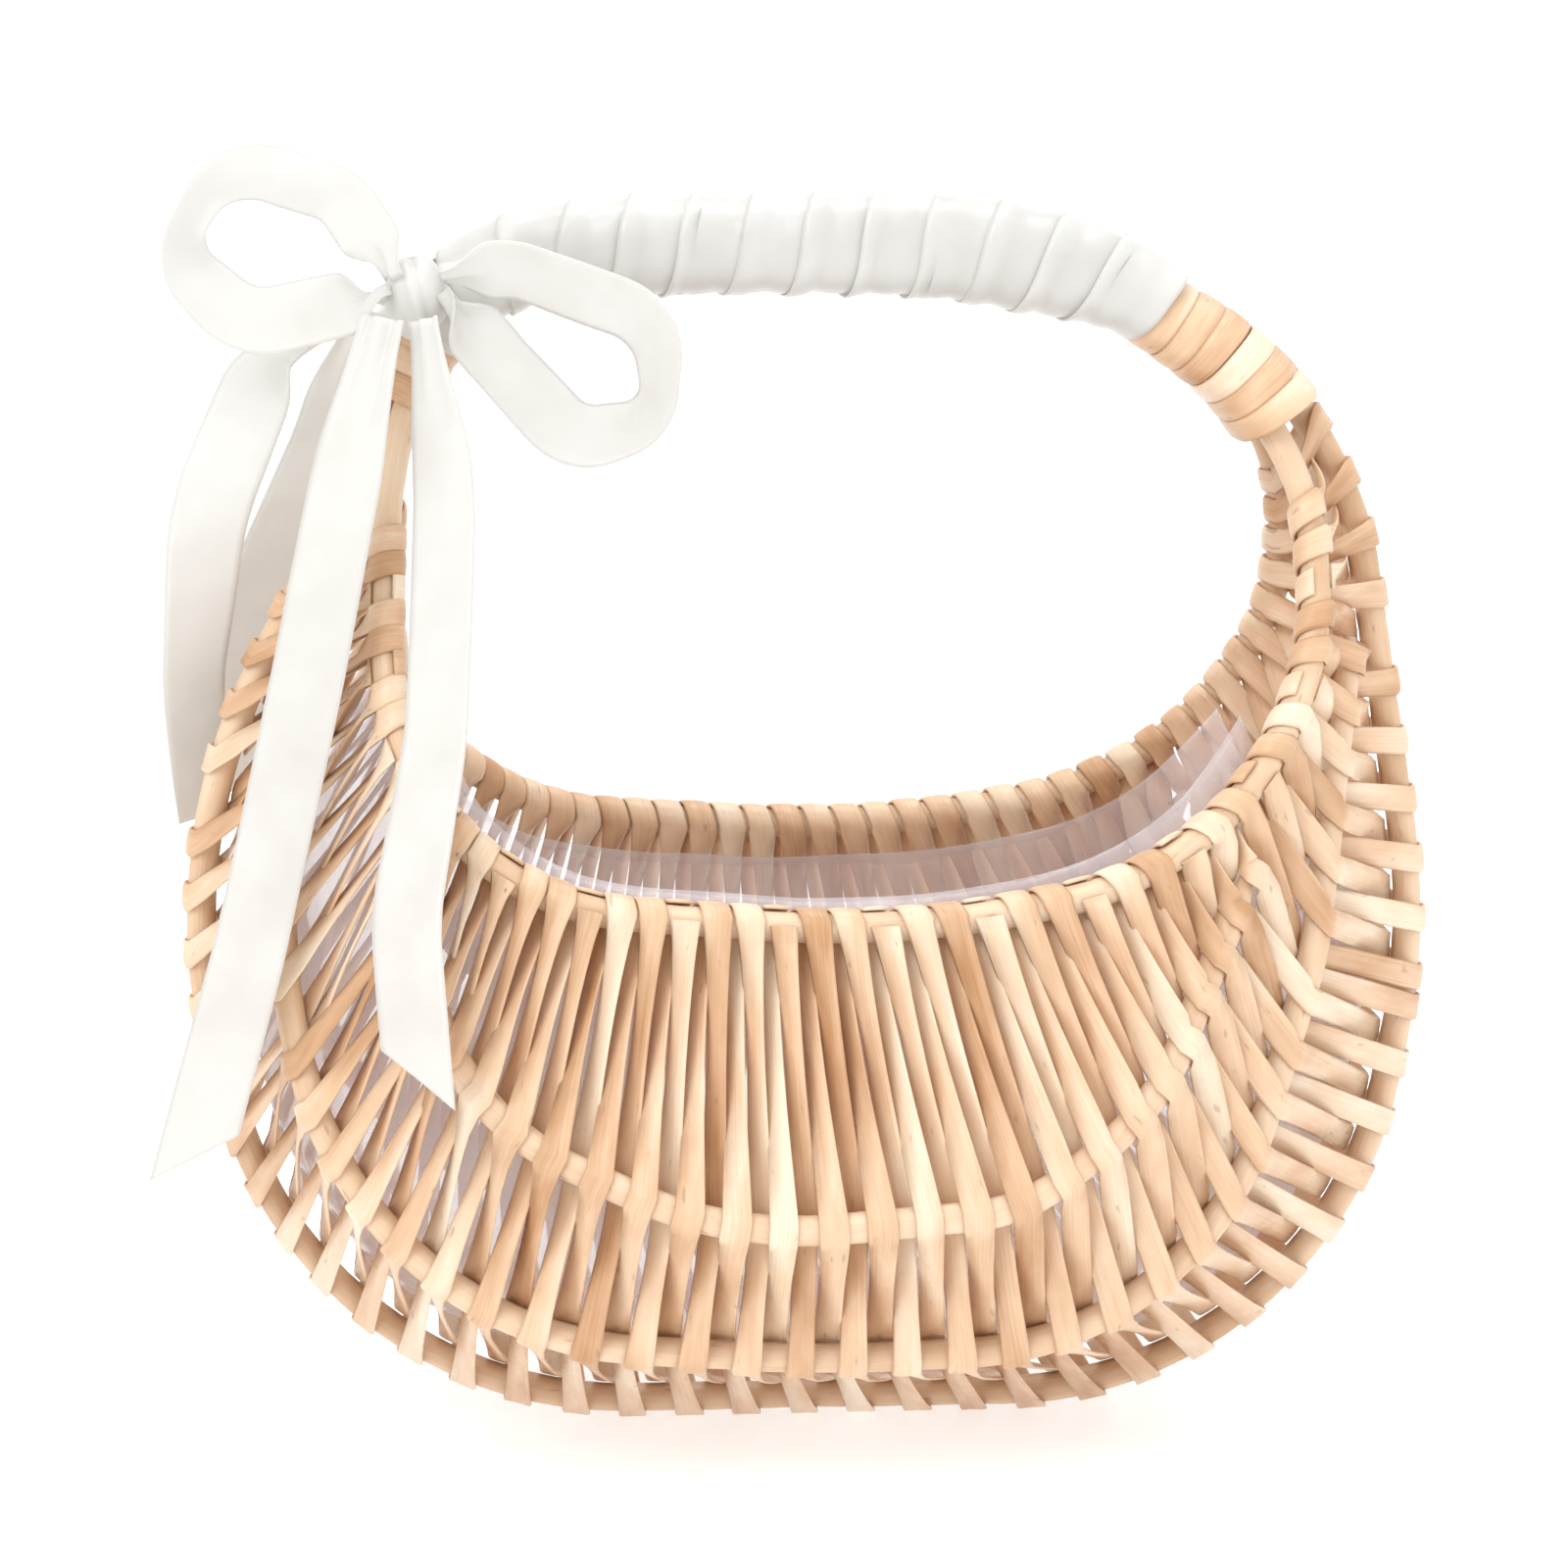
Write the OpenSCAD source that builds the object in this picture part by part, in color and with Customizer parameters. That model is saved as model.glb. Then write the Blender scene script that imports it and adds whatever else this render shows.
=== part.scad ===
// Flower girl basket: a small rib basket of peeled willow. A keel hoop and two rim hoops
// share the handle and part at the ears. Four ribs fill out the belly. Flat willow skeins
// are woven over and under the rods. A satin ribbon is wound round the handle and tied in
// a bow, and a clear film lines the inside. X runs from ear to ear, -Y is the front, and
// the origin lies under the middle of the keel, where the weave meets the table.

/* [Rods] */
// Diameter of the peeled willow rods
rod_d = 6.2; // [5:0.1:6.4]
// Half the gap between the middles of the two rim rods along the handle
rim_rod_y = 3.3; // [3.3:0.1:3.6]
// How far the rims lean out for each millimetre below the ears
rim_lean = 0.59; // [0.45:0.01:0.6]
// Height at which the rim hoops start to part
ear_z = 205; // [200:1:206]

/* [Weave] */
// Width of a willow skein
skein_w = 5.8; // [4:0.1:6]
// Thickness of a willow skein
skein_t = 0.8; // [0.5:0.1:0.9]
// Gap that is left between a skein and the rod that it bends round
skein_gap = 0.15; // [0.1:0.05:0.3]
// Number of times that each long skein crosses the basket
passes_per_skein = 6; // [2:2:6]

/* [Ribbon] */
// Width of the satin ribbon
ribbon_w = 15.5; // [12:0.5:16]
// Thickness of the ribbon's solids
ribbon_t = 0.8; // [0.5:0.1:1]
// Distance from one turn of ribbon round the handle to the next
ribbon_pitch = 12; // [10:0.5:14]

/* [Liner] */
// Thickness of the clear film's solid
film_t = 0.5; // [0.4:0.1:0.6]
// Gap between the film and the weave inside the basket
film_gap = 0.4; // [0.3:0.1:0.8]

/* [Hidden] */
$fn = 48;
SKEINS_EACH_SIDE = 8;
JOIN = 0.02;
CORE = 0.15;

WILLOW = "#d9b285";
SKEIN = "#e2c199";
SATIN = "#f4f2ea";
FILM = "#dcd3dd";
rod_r = rod_d / 2;
// Height of the keel along its flat middle stretch: the skeins under it touch the table
keel_z = rod_r + skein_gap + skein_t;

// ---------------------------------------------------------------- vectors and paths

function unit(v) = v / norm(v);
function mix(a, b, f) = a + (b - a) * f;
// the part of v that is square to the unit vector n
function square_to(v, n) = unit(v - n * (v * n));

// A corner [x, y, z, r] of a path, rounded to radius r between its neighbours a and b:
// [centre, radius, arm to the start, heading at the start, angle, length of the tangents]
function rounded(p, a, b) =
    let (
        u = unit([a.x, a.y, a.z] - [p.x, p.y, p.z]),
        v = unit([b.x, b.y, b.z] - [p.x, p.y, p.z]),
        half = acos(u * v) / 2,
        t = p[3] / tan(half),
        c = [p.x, p.y, p.z] + unit(u + v) * p[3] / sin(half)
    ) [c, p[3], unit([p.x, p.y, p.z] + u * t - c), -u, 180 - 2 * half, t];

// A path as its stretches: ["arc", centre, radius, arm, heading, angle, length] and
// ["line", start, heading, length]. A closed path starts with the arc of its first corner.
function stretches(corners, closed) =
    let (
        n = len(corners),
        spot = [for (c = corners) [c.x, c.y, c.z]],
        bend = [
            for (i = [0 : n - 1])
                closed || (i > 0 && i < n - 1)
                    ? rounded(corners[i], corners[(i + n - 1) % n], corners[(i + 1) % n])
                    : undef
        ]
    ) [
        for (i = [0 : n - 1])
            let (
                b = bend[i],
                j = (i + 1) % n,
                last = !closed && i == n - 1,
                way = last ? [0, 0, 1] : unit(spot[j] - spot[i]),
                t_here = is_undef(b) ? 0 : b[5],
                t_next = is_undef(bend[j]) ? 0 : bend[j][5],
                length = last ? 0 : norm(spot[j] - spot[i]) - t_here - t_next
            )
            each [
                if (!is_undef(b)) ["arc", b[0], b[1], b[2], b[3], b[4], b[1] * b[4] * PI / 180],
                if (length > 0.02) ["line", spot[i] + way * t_here, way, length]
            ]
    ];

function stretch_length(g) = g[len(g) - 1];
function path_length(path, i = 0) =
    i >= len(path) ? 0 : stretch_length(path[i]) + path_length(path, i + 1);

// The point and the heading at distance s along a path
function along(path, s, i = 0) =
    s > stretch_length(path[i]) && i < len(path) - 1
        ? along(path, s - stretch_length(path[i]), i + 1)
        : path[i][0] == "line"
            ? [path[i][1] + path[i][2] * s, path[i][2]]
            : let (
                g = path[i],
                a = g[5] * s / g[6]
            ) [
                g[1] + g[2] * (g[3] * cos(a) + g[4] * sin(a)),
                g[4] * cos(a) - g[3] * sin(a)
            ];

// A round rod along a path. Its stretches stop JOIN short of each other, and a slightly
// thinner core runs through each join.
module rod(path, r, closed) {
    for (g = path) {
        if (g[0] == "line") {
            side = square_to(abs(g[2].y) < 0.9 ? [0, 1, 0] : [1, 0, 0], g[2]);
            placed(g[1] + g[2] * JOIN, side, cross(g[2], side))
                cylinder(r = r, h = g[3] - 2 * JOIN);
        } else {
            trim = JOIN / g[2] * 180 / PI;
            placed(g[1], g[3], g[4])
                rotate_extrude(start = trim, angle = g[5] - 2 * trim)
                    translate([g[2], 0]) circle(r = r);
        }
    }
    for (i = [closed ? 0 : 1 : len(path) - 1]) {
        start = path[i][0] == "line" ? path[i][1] : path[i][1] + path[i][3] * path[i][2];
        way = path[i][0] == "line" ? path[i][2] : path[i][4];
        side = square_to(abs(way.y) < 0.9 ? [0, 1, 0] : [1, 0, 0], way);
        placed(start - way, side, cross(way, side))
            cylinder(r = r - CORE, h = 2);
    }
}

// Puts its child's X and Y axes along ex and ey, and its origin at p
module placed(p, ex, ey) {
    ez = cross(ex, ey);
    multmatrix([
        [ex.x, ey.x, ez.x, p.x],
        [ex.y, ey.y, ez.y, p.y],
        [ex.z, ey.z, ez.z, p.z],
        [0, 0, 0, 1]
    ]) children();
}

// ---------------------------------------------------------------- the rods' paths

function back(corners) = [for (c = corners) [c.x, -c.y, c.z, c[3]]];
// the rim hoops stand together along the handle and lean apart below the ears
function rim_y(z) = -rim_rod_y - rim_lean * max(0, ear_z - z);

// [x, z, radius], clockwise from the left shoulder
RIM_OUTLINE = [
    [-69, 238, 34], [32, 238, 105], [101, 219, 54], [101, 163, 60], [78, 124, 66],
    [16, 113, 190], [-67, 119, 52], [-85, 154, 60], [-84, 201, 56]
];
KEEL_OUTLINE = [
    [-72.5, 244.5, 34], [48, 244.5, 100], [109, 212, 72], [127, 101, 135], [109, keel_z, 80],
    [-100, keel_z, 84], [-131, 120, 118], [-95, 186, 78]
];
// [x, y, z, radius] from the left end to the right end
LOWER_RIB = [
    [-99.9, -17.8, 150.5, 0], [-109, -30, 114, 120], [-90, -56, 34, 73], [0, -58, 28, 300],
    [74, -57, 30, 66], [100, -34, 103, 84], [109.7, -12.8, 164, 0]
];
UPPER_RIB = [
    [-83.2, -43.3, 122, 0], [-70, -67, 80, 50], [-20, -78, 58, 80], [37, -76, 62, 36],
    [64, -67, 80, 55], [85, -44, 122, 0]
];

rim_corners = [for (c = RIM_OUTLINE) [c.x, rim_y(c.y), c.y, c[2]]];
RIM_FRONT = stretches(rim_corners, true);
RIM_BACK = stretches(back(rim_corners), true);
KEEL = stretches([for (c = KEEL_OUTLINE) [c.x, 0, c.y, c[2]]], true);
LOWER_FRONT = stretches(LOWER_RIB, false);
LOWER_BACK = stretches(back(LOWER_RIB), false);
UPPER_FRONT = stretches(UPPER_RIB, false);
UPPER_BACK = stretches(back(UPPER_RIB), false);
KEEL_LENGTH = path_length(KEEL);
RIM_LENGTH = path_length(RIM_FRONT);

// ---------------------------------------------------------------- the weave

// Where the weave ends at the left and the right ear, as a distance along each hoop
KEEL_LEFT = KEEL_LENGTH - 38;
KEEL_RIGHT = 202;
RIM_LEFT = RIM_LENGTH - 29;
RIM_RIGHT = 202;
// Each rod that the skeins cross, from front to back: its path, the distances along it at
// its left and right end, the shares of the width of the weave between which it is crossed,
// and how far its crossings are drawn to the left in the middle
CROSSED = [
    [RIM_FRONT, RIM_LEFT, RIM_RIGHT, 0, 1, 0.055],
    [UPPER_FRONT, 0, path_length(UPPER_FRONT), 0.2435, 0.788, 0],
    [LOWER_FRONT, 0, path_length(LOWER_FRONT), 0.11, 0.918, 0.012],
    [KEEL, KEEL_LEFT, KEEL_RIGHT, 0, 1, 0.0155],
    [LOWER_BACK, 0, path_length(LOWER_BACK), 0.11, 0.918, 0.012],
    [UPPER_BACK, 0, path_length(UPPER_BACK), 0.2435, 0.788, 0],
    [RIM_BACK, RIM_LEFT, RIM_RIGHT, 0, 1, 0.055]
];
// How much wider than round a rib a skein is bent round a rim
OVER_RIM = 1.14;
passes = 2 * SKEINS_EACH_SIDE * passes_per_skein;
bend_r = rod_r + skein_gap + skein_t / 2;

function pass_u(j) = (j + 0.5) / passes;
function is_crossed(k, u) = u >= CROSSED[k][3] && u <= CROSSED[k][4];
// The point where the skein at share u of the width crosses rod k, and the rod's heading
// there, from left to right
function crossing(k, u) =
    let (
        c = CROSSED[k],
        f = (u - c[3]) / (c[4] - c[3]) - c[5] * sin(180 * u),
        p = along(c[0], mix(c[1], c[2], f))
    ) [p[0], c[1] > c[2] ? -p[1] : p[1]];
// How far apart neighbouring passes are on rod k
function spacing(k, u) =
    norm(crossing(k, u + 0.5 / passes)[0] - crossing(k, u - 0.5 / passes)[0]);
function lean_angle(gap) = asin(min(0.9, 2 * bend_r / gap));

// A ring is [centre, direction of the width, direction of the thickness, width]. h_side is
// 1 where the thickness points out of the basket, and -1 where it points in.
function bent_over(c, gap_in, gap_out, side, h_side) =
    let (
        d_in = square_to(gap_in, c[1]),
        d_out = square_to(gap_out, c[1]),
        lean_in = lean_angle(norm(gap_in)),
        lean_out = lean_angle(norm(gap_out)),
        arm_in = cross(d_in, c[1]) * side * cos(lean_in) - d_in * sin(lean_in),
        arm_out = cross(d_out, c[1]) * side * cos(lean_out) + d_out * sin(lean_out),
        middle = unit(arm_in + arm_out),
        ahead = square_to(d_in + d_out, middle),
        half = max(6, min(45, asin(max(-1, min(1, (arm_out - arm_in) * ahead / 2)))))
    ) [
        for (way = [-1, 1])
            [
                c[0] + (middle + ahead * way * tan(half)) * bend_r,
                c[1], middle * side * h_side, skein_w
            ]
    ];

// Halfway between two rods a skein is drawn narrow, so that it passes its neighbours
function halfway(ring_a, ring_b, h_side, w) =
    let (
        ahead = unit(ring_b[0] - ring_a[0]),
        across = square_to(ring_a[1] + ring_b[1], ahead)
    ) [mix(ring_a[0], ring_b[0], 0.5), across, cross(ahead, across) * h_side, w];

// The rings of one pass from the front rim to the back rim
function front_to_back(j) =
    let (
        u = pass_u(j),
        rods = [for (k = [0 : len(CROSSED) - 1]) if (is_crossed(k, u)) k],
        last = len(rods) - 1,
        c = [for (k = rods) crossing(k, u)],
        first_side = j % 2 == 0 ? 1 : -1,
        h_side = -first_side,
        at_rods = [
            for (i = [0 : last])
                let (side = i % 2 == 0 ? first_side : -first_side)
                    i == 0 || i == last
                        ? [rim_ring(c[i], c[i == 0 ? 1 : last - 1][0] - c[i][0],
                                    i == 0 ? side : -side, i == 0 ? 1 : -1, h_side)]
                        : bent_over(c[i], c[i][0] - c[i - 1][0], c[i + 1][0] - c[i][0],
                                    side, h_side)
        ]
    ) [
        for (i = [0 : last])
            each [
                each at_rods[i],
                if (i < last)
                    halfway(at_rods[i][len(at_rods[i]) - 1], at_rods[i + 1][0], h_side,
                            min(skein_w, 0.42 * (spacing(rods[i], u) + spacing(rods[i + 1], u))))
            ]
    ];
// The ring where a pass meets a rim. into points from the rim into the basket's wall.
function rim_ring(c, into, side, front, h_side) =
    let (
        d = square_to(into, c[1]),
        n = cross(d, c[1]),
        lean = lean_angle(norm(into))
    ) [
        c[0] + (n * side * cos(lean) + d * sin(lean)) * bend_r,
        c[1], n * h_side * front, skein_w
    ];

// The rings over a rim between pass j and the next one
function over_rim(j) =
    let (
        from_front = j % 2 == 0,
        k = from_front ? len(CROSSED) - 1 : 0
    ) [
        for (i = [1 : 4])
            let (
                u = mix(pass_u(j), pass_u(j + 1), i / 5),
                c = crossing(k, u),
                next = [
                    for (m = from_front ? [5 : -1 : 3] : [1 : 3]) if (is_crossed(m, u)) m
                ][0],
                gap = crossing(next, u)[0] - c[0],
                d = square_to(gap, c[1]),
                lean = lean_angle(norm(gap)),
                a = mix(-lean, 180 + lean, i / 5),
                arm = cross(c[1], d) * cos(a) - d * sin(a)
            ) [c[0] + arm * bend_r * OVER_RIM, c[1], -arm, skein_w]
    ];

function reversed(list) = [for (i = [len(list) - 1 : -1 : 0]) list[i]];
function skein_rings(first) = [
    for (j = [first : first + passes_per_skein - 1])
        each [
            each (j % 2 == 0 ? front_to_back(j) : reversed(front_to_back(j))),
            each (j < first + passes_per_skein - 1 ? over_rim(j) : [])
        ]
];

// A closed band through four-cornered rings of points
module band(rings) {
    n = len(rings);
    polyhedron(
        points = [for (r = rings) each r],
        faces = [
            [0, 1, 2], [0, 2, 3],
            [4 * n - 4, 4 * n - 2, 4 * n - 3], [4 * n - 4, 4 * n - 1, 4 * n - 2],
            for (i = [0 : n - 2], k = [0 : 3])
                let (a = 4 * i + k, b = 4 * i + (k + 1) % 4)
                    each [[a, a + 4, b + 4], [a, b + 4, b]]
        ]
    );
}
function corners_of(ring, t) =
    let (w = ring[1] * ring[3] / 2, h = ring[2] * t / 2)
        [ring[0] - w + h, ring[0] + w + h, ring[0] + w - h, ring[0] - w - h];

// Skeins are numbered from each ear towards the middle
module weaver(number, from_left) {
    place = from_left ? number - 1 : 2 * SKEINS_EACH_SIDE - number;
    color(SKEIN)
        band([for (r = skein_rings(place * passes_per_skein)) corners_of(r, skein_t)]);
}

// ---------------------------------------------------------------- the handle

// The oval round the three rods at distance s along the keel hoop, counted from its left
// shoulder: the middle, the way out of the hoop, and the oval's two half widths
function handle_oval(s) =
    let (
        share = (s - (KEEL_LEFT - KEEL_LENGTH)) / (KEEL_RIGHT - KEEL_LEFT + KEEL_LENGTH),
        keel = along(KEEL, (s + KEEL_LENGTH) % KEEL_LENGTH),
        rim_s = mix(RIM_LEFT - RIM_LENGTH, RIM_RIGHT, share),
        rim = along(RIM_FRONT, (rim_s + RIM_LENGTH) % RIM_LENGTH)[0],
        out = cross(keel[1], [0, 1, 0]),
        reach = (keel[0] - rim) * out
    ) [keel[0] - out * reach / 2, out, reach / 2 + rod_r + 0.9, -rim.y + rod_r + 0.7];
// A corner-heavy oval, so that it clears the two rim rods
function oval_point(o, a, lift) =
    o[0] + o[1] * (o[2] + lift) * rounder(cos(a)) + [0, 1, 0] * (o[3] + lift) * rounder(sin(a));
function raised(o, by) = [o[0] + o[1] * by, o[1], o[2], o[3]];
function rounder(v) = sign(v) * pow(abs(v), 0.8);

// A strip wound round the handle from distance s0 to s1 along the keel hoop
module wound(s0, s1, pitch, w, t, lift, sides, padded = false) {
    turns = round((s1 - s0 - w) / pitch);
    step = (s1 - s0 - w) / (turns * sides);
    band([
        for (i = [0 : turns * sides])
            let (
                s = s0 + w / 2 + i * step,
                a = i * 360 / sides,
                pad_low = padded ? padding(s - w / 2) : 0,
                pad_high = padded ? padding(s + w / 2) : 0,
                low = raised(handle_oval(s - w / 2), pad_low),
                high = raised(handle_oval(s + w / 2), pad_high)
            ) [
                oval_point(high, a, lift + pad_high), oval_point(low, a, lift + pad_low),
                oval_point(low, a, lift + pad_low + t), oval_point(high, a, lift + pad_high + t)
            ]
    ]);
}

// Where each winding and the knot are, as distances along the keel hoop
WOUND_LEFT = -13;
KNOT_AT = 10;
RIBBON_START = 18;
RIBBON_END = 165;
WOUND_RIGHT = 200;
WRAP_W = 5.5;
WRAP_PITCH = 6;
WRAP_LIFT = 0.5;
RIBBON_GAP = 0.4;
// Padding under the ribbon: half its thickness on top of the handle, and the distance
// from the knot over which it grows
PADDING = 1.5;
PADDING_RUN = 38;
function padding(s) = PADDING * max(0, min(1, (s - RIBBON_START) / PADDING_RUN));

module handle_wrap_left() {
    color(SKEIN) wound(WOUND_LEFT, RIBBON_START, WRAP_PITCH, WRAP_W, skein_t, WRAP_LIFT, 14);
}
module handle_wrap_right() {
    color(SKEIN) wound(RIBBON_END, WOUND_RIGHT, WRAP_PITCH, WRAP_W, skein_t, WRAP_LIFT, 14);
}
module ribbon_wrap() {
    color(SATIN)
        wound(RIBBON_START + RIBBON_GAP, RIBBON_END - RIBBON_GAP, ribbon_pitch,
              ribbon_pitch - RIBBON_GAP, ribbon_t, RIBBON_GAP, 16, true);
}
// Split willow strips laid along the top of the handle make the grip under the ribbon rounder
module handle_filler() {
    color(WILLOW)
        for (a = [-72 : 36 : 72])
            band([
                for (s = [RIBBON_START + 14 : 11.5 : RIBBON_END - 2])
                    let (
                        o = handle_oval(s),
                        arm = unit(oval_point(o, a, 0) - o[0]),
                        side = cross(arm, cross(o[1], [0, 1, 0])) * PADDING * 0.8,
                        low = oval_point(o, a, 0) + arm * 0.15,
                        high = low + arm * padding(s) * (0.7 + 0.9 * cos(a))
                    ) [low + side, low - side, high - side, high + side]
            ]);
}

// ---------------------------------------------------------------- the bow

// A flat ribbon along a rounded path. across(f) gives the direction of its width, and
// width(f) its width, at share f of its length. The far end is cut at a slant.
module ribbon(corners, rings, first_across, last_across, first_w, slant = 0) {
    path = stretches(corners, false);
    length = path_length(path);
    band([
        for (i = [0 : rings])
            let (
                f = i / rings,
                p = along(path, length * f),
                across = square_to(mix(first_across, last_across, f), p[1]),
                w = mix(first_w, ribbon_w, min(1, 5 * f)) / 2,
                cut = p[1] * (i == rings ? slant : 0),
                h = cross(p[1], across) * ribbon_t / 2
            ) [
                p[0] - across * w - cut - h, p[0] + across * w + cut - h,
                p[0] + across * w + cut + h, p[0] - across * w - cut + h
            ]
    ]);
}

// A loop of the bow: it leaves the knot and comes back to it, and its face leans forward
module bow_loop(corners, middle, rings) {
    path = stretches(corners, false);
    length = path_length(path);
    band([
        for (i = [0 : rings])
            let (
                f = i / rings,
                p = along(path, length * f),
                radial = square_to([p[0].x - middle.x, 0, p[0].z - middle.z], p[1]),
                lean = square_to(radial * 0.75 + [0, -0.65, 0], p[1]),
                across = square_to(mix([0, -1, 0.3], lean, min(1, 6 * f, 6 * (1 - f))), p[1]),
                w = mix(LOOP_END_W, ribbon_w, min(1, 5 * f, 5 * (1 - f))) / 2,
                h = cross(p[1], across) * ribbon_t / 2
            ) [
                p[0] - across * w - h, p[0] + across * w - h,
                p[0] + across * w + h, p[0] - across * w + h
            ]
    ]);
}

KNOT = [-77, -14, 234];
KNOT_R = 8;
BAND_R = 10;
LOOP_END_W = 8;
LEFT_LOOP = [
    [-82, -17, 238, 0], [-92, -18, 254, 9], [-114, -20, 261, 12], [-125, -21, 243, 10],
    [-111, -20, 229, 12], [-83, -17, 235, 0]
];
RIGHT_LOOP = [
    [-73, -18, 239, 0], [-58, -19, 240, 16], [-30, -22, 230, 12], [-30, -23, 210, 9],
    [-47, -22, 206, 10], [-62, -19, 222, 14], [-73, -18, 235, 0]
];
// [x, y, z, radius] down the middle of each hanging tail
TAIL_FRONT = [
    [-84, -26.5, 231, 0], [-90, -31, 208, 60], [-99, -37, 165, 150], [-112, -43, 108, 150],
    [-123, -46, 68, 0]
];
TAIL_RIGHT = [
    [-76, -29, 231, 0], [-72.5, -35, 200, 80], [-75, -54, 152, 100], [-81, -69, 120, 60],
    [-79, -81, 91, 0]
];
TAIL_LEFT = [
    [-93, -11, 229, 0], [-108, -8, 219, 20], [-120, -4, 190, 60], [-124, 5, 156, 60],
    [-123, 19, 124, 0]
];
TAIL_BACK = [
    [-87, 11.5, 229, 0], [-95, 14, 205, 60], [-108, 19, 178, 60], [-116, 25, 150, 60],
    [-119, 30, 128, 0]
];

module bow_loop_left() {
    color(SATIN) bow_loop(LEFT_LOOP, [-108, 0, 248], 26);
}
module bow_loop_right() {
    color(SATIN) bow_loop(RIGHT_LOOP, [-44, 0, 222], 26);
}
// The knot, and the band of ribbon that holds it to the handle
module bow_knot() {
    o = handle_oval(KNOT_AT);
    color(SATIN)
        difference() {
            union() {
                translate(KNOT) sphere(r = KNOT_R);
                placed(o[0], o[1], [0, 1, 0])
                    translate([0, 0, -6.5]) cylinder(r = BAND_R + ribbon_t, h = 13);
            }
            placed(o[0], o[1], [0, 1, 0]) translate([0, 0, -20]) cylinder(r = BAND_R, h = 40);
        }
}
module tail_front() {
    color(SATIN) ribbon(TAIL_FRONT, 22, [1, 0.1, 0], [1, -0.2, 0.3], 10, -7);
}
module tail_right() {
    color(SATIN) ribbon(TAIL_RIGHT, 22, [1, 0, 0], [1, 0.2, -0.3], 9, 6);
}
module tail_left() {
    color(SATIN) ribbon(TAIL_LEFT, 22, [0.3, -1, 0.5], [0.5, 0.85, 0], 7, 3);
}
module tail_back() {
    color(SATIN) ribbon(TAIL_BACK, 20, [1, 0.2, 0.1], [0.8, 0.5, 0], 8, 3);
}

// ---------------------------------------------------------------- the liner

LINER_FROM = 0.13;
LINER_TO = 0.84;
LINER_COLUMNS = 22;
// How far the film stands over the middle of the front rim and below that of the back rim
FILM_OVER_FRONT = 7;
FILM_BELOW_BACK = 5;
film_off = bend_r + skein_t / 2 + 0.5 + film_gap;

// One column of the film from the front to the back, lift further in than its outer face
function film_column(u, lift) =
    let (
        at = [for (k = [0 : 6]) is_crossed(k, u) ? crossing(k, u) : undef],
        c = [
            for (k = [0 : 6])
                !is_undef(at[k]) ? at[k]
                    : [mix(at[k == 1 ? 0 : 6][0], at[k == 1 ? 2 : 4][0], 0.2), at[k == 1 ? 0 : 6][1]]
        ],
        inward = [
            for (k = [0 : 6])
                let (
                    d_in = square_to(c[max(k, 1)][0] - c[max(k, 1) - 1][0], c[k][1]),
                    d_out = square_to(c[min(k, 5) + 1][0] - c[min(k, 5)][0], c[k][1])
                ) -unit(cross(d_in, c[k][1]) + cross(d_out, c[k][1]))
        ],
        row = [for (k = [0 : 6]) c[k][0] + inward[k] * (film_off + lift)]
    ) [
        row[0] + unit(row[0] - row[1]) * FILM_OVER_FRONT,
        each row,
        row[6] + unit(row[5] - row[6]) * FILM_BELOW_BACK
    ];

module liner() {
    rows = 8;
    us = [for (i = [0 : LINER_COLUMNS]) mix(LINER_FROM, LINER_TO, i / LINER_COLUMNS)];
    inside = [for (u = us) let (c = film_column(u, film_t)) each [for (i = [0 : 6]) c[i], c[8]]];
    outside = [for (u = us) let (c = film_column(u, 0)) each [for (i = [0 : 6]) c[i], c[8]]];
    n = len(inside);
    color(FILM)
        polyhedron(
            points = concat(inside, outside),
            faces = [
                for (i = [0 : LINER_COLUMNS - 1], k = [0 : rows - 2])
                    let (a = rows * i + k, b = a + rows)
                        each [
                            [a, a + 1, b + 1], [a, b + 1, b],
                            [n + a, n + b + 1, n + a + 1], [n + a, n + b, n + b + 1]
                        ],
                for (i = [0 : LINER_COLUMNS - 1], k = [0, rows - 1])
                    let (a = rows * i + k, b = a + rows, near = k == 0)
                        each near ? [[a, b, n + b], [a, n + b, n + a]]
                            : [[a, n + b, b], [a, n + a, n + b]],
                for (i = [0, LINER_COLUMNS], k = [0 : rows - 2])
                    let (a = rows * i + k, b = a + 1, near = i == 0)
                        each near ? [[a, n + b, b], [a, n + a, n + b]]
                            : [[a, b, n + b], [a, n + b, n + a]]
            ]
        );
}

// ---------------------------------------------------------------- the nodes

module keel_hoop() { color(WILLOW) rod(KEEL, rod_r, true); }
module rim_hoop_front() { color(WILLOW) rod(RIM_FRONT, rod_r, true); }
module rim_hoop_back() { color(WILLOW) rod(RIM_BACK, rod_r, true); }
module rib_front_upper() { color(WILLOW) rod(UPPER_FRONT, rod_r, false); }
module rib_front_lower() { color(WILLOW) rod(LOWER_FRONT, rod_r, false); }
module rib_back_upper() { color(WILLOW) rod(UPPER_BACK, rod_r, false); }
module rib_back_lower() { color(WILLOW) rod(LOWER_BACK, rod_r, false); }

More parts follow.
